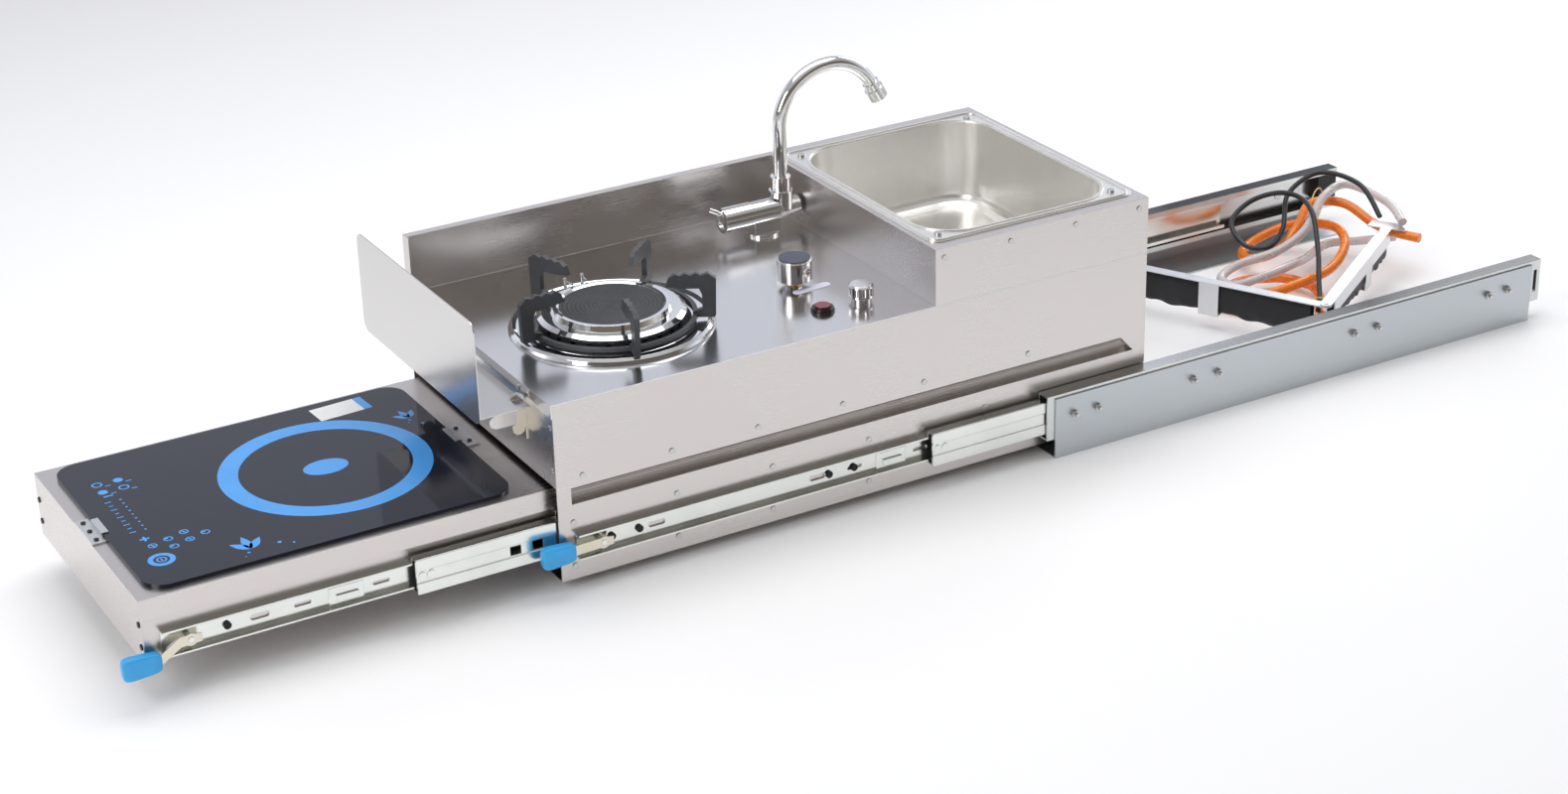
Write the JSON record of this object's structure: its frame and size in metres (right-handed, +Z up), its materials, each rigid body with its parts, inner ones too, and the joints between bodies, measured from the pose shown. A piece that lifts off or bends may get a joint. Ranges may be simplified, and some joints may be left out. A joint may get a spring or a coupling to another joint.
{
  "type": "pull-out camping kitchen",
  "caption": "Pull-out camper kitchen on locking slides: gas burner, folding tap, inset sink, wind guard, and a cooktop drawer that slides out of the end; loose hoses on a cable arm.",
  "frame": {"origin": "centre of the footprint at the floor under the rails' feet, with the box and the drawer pulled out", "axes": "+X along the slides, from the cooktop drawer to the rails' back end; +Y from the operator's side to the splash back; +Z up"},
  "size_m": [1.766, 0.4138, 0.401],
  "materials": {
    "rail_steel": "galvanised satin",
    "zinc_steel": "bright zinc plate",
    "stainless": "brushed stainless",
    "sink_steel": "satin stainless",
    "chrome": "polished",
    "fastener": "plain",
    "black_screw": "black oxide",
    "rubber_black": "matt",
    "cast_black": "enamelled",
    "ceramic_black": "matt",
    "brass": "plain",
    "label": "gloss",
    "black_plastic": "gloss",
    "red_plastic": "translucent",
    "knob_cap": "satin",
    "blue_grip": "dipped vinyl",
    "black_glass": "printed underneath",
    "arm_aluminium": "satin",
    "black_fabric": "woven",
    "orange_rubber": "satin",
    "clear_hose": "translucent",
    "black_cable": "satin",
    "tie": "plain"
  },
  "bodies": {
    "base": {"rail_near": "rail_steel", "rail_far": "rail_steel", "main_outer": "rail_steel", "rail_bolts": "fastener", "slide_stops": "rubber_black"},
    "main_mid": {"main_middle": "zinc_steel"},
    "box": {"main_inner": "zinc_steel", "slide_screws": "black_screw", "box_shell": "stainless", "end_left": "stainless", "worktop": "stainless", "sink_skirt": "stainless", "sink_bowl": "sink_steel", "sink_drain": "sink_steel", "shell_screws": "fastener", "drawer_outer": "zinc_steel", "drip_ring": "chrome", "burner_case": "cast_black", "burner_trim": "chrome", "burner_plate": "ceramic_black", "spark_pins": "fastener", "gas_valve": "brass", "label_plate": "label", "button_bezel": "black_plastic", "knob_spindle": "fastener", "tap_base": "chrome", "guard_bracket": "zinc_steel", "arm_bracket": "arm_aluminium"},
    "guard": {"wind_guard": "stainless"},
    "pan_rest": {"pan_support": "cast_black"},
    "gas_control": {"gas_knob": "chrome", "knob_cap": "knob_cap"},
    "button": {"red_button": "red_plastic"},
    "small_control": {"chrome_knob": "chrome"},
    "tap_lever": {"tap_handle": "chrome"},
    "tap_fold_head": {"tap_turret": "chrome"},
    "spout": {"tap_spout": "chrome"},
    "drawer_mid": {"drawer_middle": "zinc_steel"},
    "drawer": {"drawer_inner": "zinc_steel", "drawer_tray": "stainless", "drawer_cover": "stainless", "cooktop_glass": "black_glass", "glass_clips": "zinc_steel", "drawer_screws": "black_screw"},
    "release_near": {"main_lever_near": "zinc_steel", "main_grip_near": "blue_grip"},
    "drawer_release_near": {"drawer_lever_near": "zinc_steel", "drawer_grip_near": "blue_grip"},
    "cable_arm_a": {"arm_inner": "arm_aluminium", "inner_sleeve": "black_fabric"},
    "cable_arm_b": {"arm_outer": "arm_aluminium", "outer_sleeve": "black_fabric", "orange_hose": "orange_rubber", "clear_hose": "clear_hose", "black_cable": "black_cable", "hose_ties": "tie"}
  },
  "joints": [
    {"name": "main_slide", "type": "slide", "parent": "base", "child": "box", "axis": [1, 0, 0], "range_m": [0, 0.5685]},
    {"name": "main_mid_slide", "type": "slide", "parent": "base", "child": "main_mid", "axis": [1, 0, 0], "range_m": [0, 0.1475]},
    {"name": "drawer_slide", "type": "slide", "parent": "box", "child": "drawer", "axis": [1, 0, 0], "range_m": [0, 0.418]},
    {"name": "drawer_mid_slide", "type": "slide", "parent": "box", "child": "drawer_mid", "axis": [1, 0, 0], "range_m": [0, 0.162]},
    {"name": "guard_fold", "type": "hinge", "parent": "box", "child": "guard", "pos_m": [-0.4338, -0.00075, 0.1956], "axis": [0, 1, 0], "range_deg": [0, 60]},
    {"name": "pan_rest_lift", "type": "slide", "parent": "box", "child": "pan_rest", "axis": [0, 0, 1], "range_m": [0, 0.08]},
    {"name": "gas_turn", "type": "hinge", "parent": "box", "child": "gas_control", "pos_m": [-0.067, -0.04475, 0.218], "axis": [0, 0, 1], "range_deg": [0, 180]},
    {"name": "button_press", "type": "slide", "parent": "box", "child": "button", "axis": [0, 0, -1], "range_m": [0, 0.0015], "stiffness_N_per_m": 300, "springref_m": -0.001},
    {"name": "small_turn", "type": "hinge", "parent": "box", "child": "small_control", "pos_m": [-0.03, -0.12125, 0.216], "axis": [0, 0, 1], "range_deg": [0, 270]},
    {"name": "tap_open", "type": "hinge", "parent": "box", "child": "tap_lever", "pos_m": [-0.055, 0.10525, 0.236], "axis": [1, 0, 0], "range_deg": [0, 90]},
    {"name": "tap_fold", "type": "hinge", "parent": "box", "child": "tap_fold_head", "pos_m": [0.01, 0.10525, 0.236], "axis": [1, 0, 0], "range_deg": [0, 55]},
    {"name": "spout_swivel", "type": "hinge", "parent": "tap_fold_head", "child": "spout", "pos_m": [0.00399, 0.10525, 0.261], "axis": [0, 0, 1], "range_deg": [-160, 160]},
    {"name": "release_near_pull", "type": "hinge", "parent": "box", "child": "release_near", "pos_m": [-0.3805, -0.18825, 0.0495], "axis": [0, 1, 0], "range_deg": [0, 10], "stiffness_Nm_per_rad": 0.6},
    {"name": "drawer_release_near_pull", "type": "hinge", "parent": "drawer", "child": "drawer_release_near", "pos_m": [-0.812, -0.16795, 0.0595], "axis": [0, 1, 0], "range_deg": [0, 10], "stiffness_Nm_per_rad": 0.6},
    {"name": "arm_pivot", "type": "hinge", "parent": "box", "child": "cable_arm_a", "pos_m": [0.453, 0.15175, 0.061], "axis": [0, 0, 1], "range_deg": [-8, 4]},
    {"name": "arm_elbow", "type": "hinge", "parent": "cable_arm_a", "child": "cable_arm_b", "pos_m": [0.60206, -0.13705, 0.061], "axis": [0, 0, 1], "range_deg": [-12, 0]}
  ],
  "couplings": [
    {"joint": "main_mid_slide", "follows": "main_slide", "ratio": 0.2585},
    {"joint": "drawer_mid_slide", "follows": "drawer_slide", "ratio": 0.387}
  ]
}
